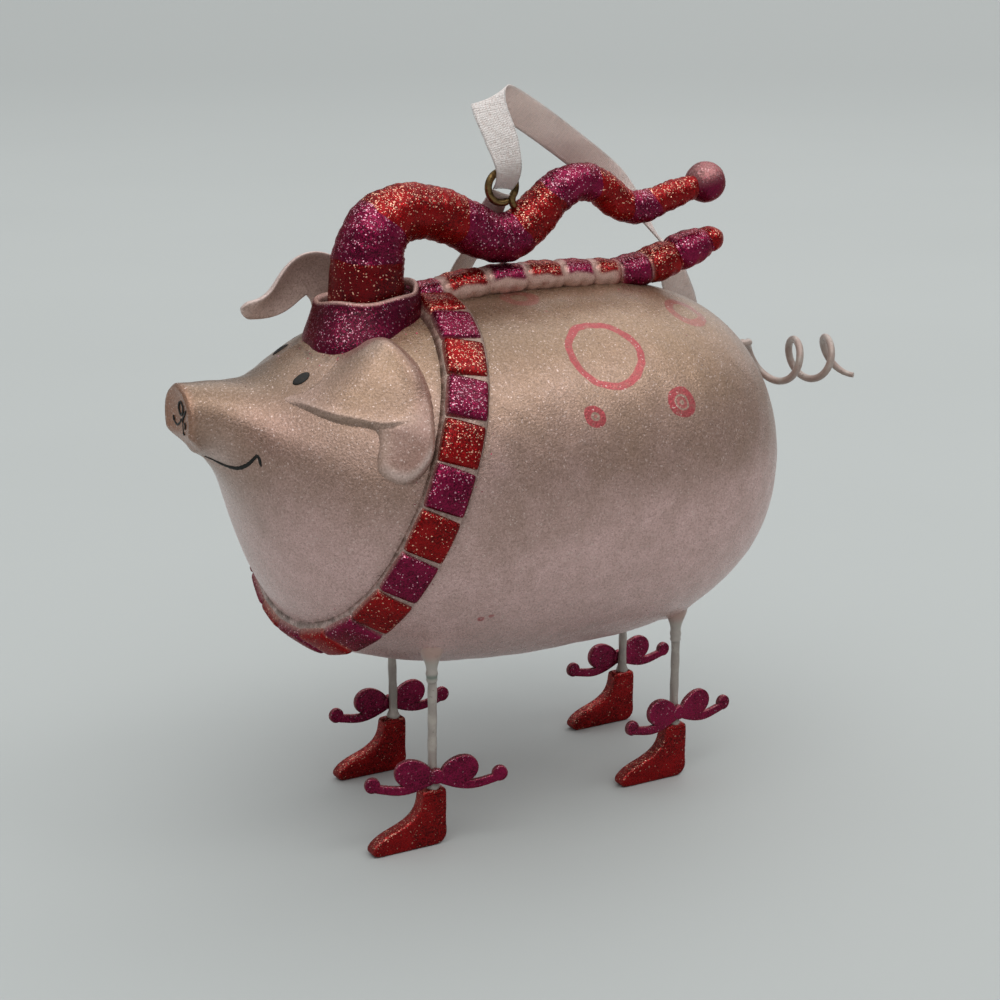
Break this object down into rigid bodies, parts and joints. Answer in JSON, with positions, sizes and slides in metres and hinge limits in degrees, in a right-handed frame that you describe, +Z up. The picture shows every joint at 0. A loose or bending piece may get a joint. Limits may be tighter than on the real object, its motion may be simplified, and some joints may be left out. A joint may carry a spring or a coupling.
{
  "type": "pig ornament",
  "caption": "Hanging ornament of a pig in a striped stocking hat and scarf, on wire legs with flat boots and bows, with a curly wire tail and a ribbon loop.",
  "frame": {"origin": "on the ground under the middle of the length from the snout to the tip of the tail, without the ribbon", "axes": "the pig faces -X, its left side is on -Y and +Z is up"},
  "size_m": [0.1513, 0.0769, 0.1355],
  "materials": {
    "pearl_paint": "cast resin, pearl pink paint with fine glitter",
    "hat_glitter": "cast resin, red and magenta glitter stripes",
    "cuff_glitter": "cast resin, magenta glitter",
    "scarf_glitter": "cast resin, red and magenta glitter blocks with pale grooves",
    "eye_brass": "antiqued brass wire",
    "wire": "pale grey painted steel wire",
    "boot_glitter": "cut-out with red glitter faces and pale edges",
    "bow_glitter": "cut-out with magenta glitter faces and pale edges",
    "satin": "woven satin"
  },
  "bodies": {
    "figure": {"body_shell": "pearl_paint", "head_shell": "pearl_paint", "left_ear": "pearl_paint", "right_ear": "pearl_paint", "tail_socket": "pearl_paint", "leg_socket_front_left": "pearl_paint", "leg_socket_front_right": "pearl_paint", "leg_socket_rear_left": "pearl_paint", "leg_socket_rear_right": "pearl_paint", "hat_crown": "hat_glitter", "hat_cuff": "cuff_glitter", "hat_pompom": "cuff_glitter", "scarf_collar": "scarf_glitter", "scarf_tail": "scarf_glitter", "screw_eye": "eye_brass", "tail_wire": "wire", "leg_wire_front_left": "wire", "boot_front_left": "boot_glitter", "bow_front_left": "bow_glitter", "leg_wire_front_right": "wire", "boot_front_right": "boot_glitter", "bow_front_right": "bow_glitter", "leg_wire_rear_left": "wire", "boot_rear_left": "boot_glitter", "bow_rear_left": "bow_glitter", "leg_wire_rear_right": "wire", "boot_rear_right": "boot_glitter", "bow_rear_right": "bow_glitter"},
    "ribbon": {"ribbon_loop": "satin", "ribbon_knot": "satin"}
  },
  "joints": [
    {"name": "ribbon_swing", "type": "hinge", "parent": "figure", "child": "ribbon", "pos_m": [-0.0103, 0, 0.11685], "axis": [1, 0, 0], "range_deg": [0, 40]}
  ]
}
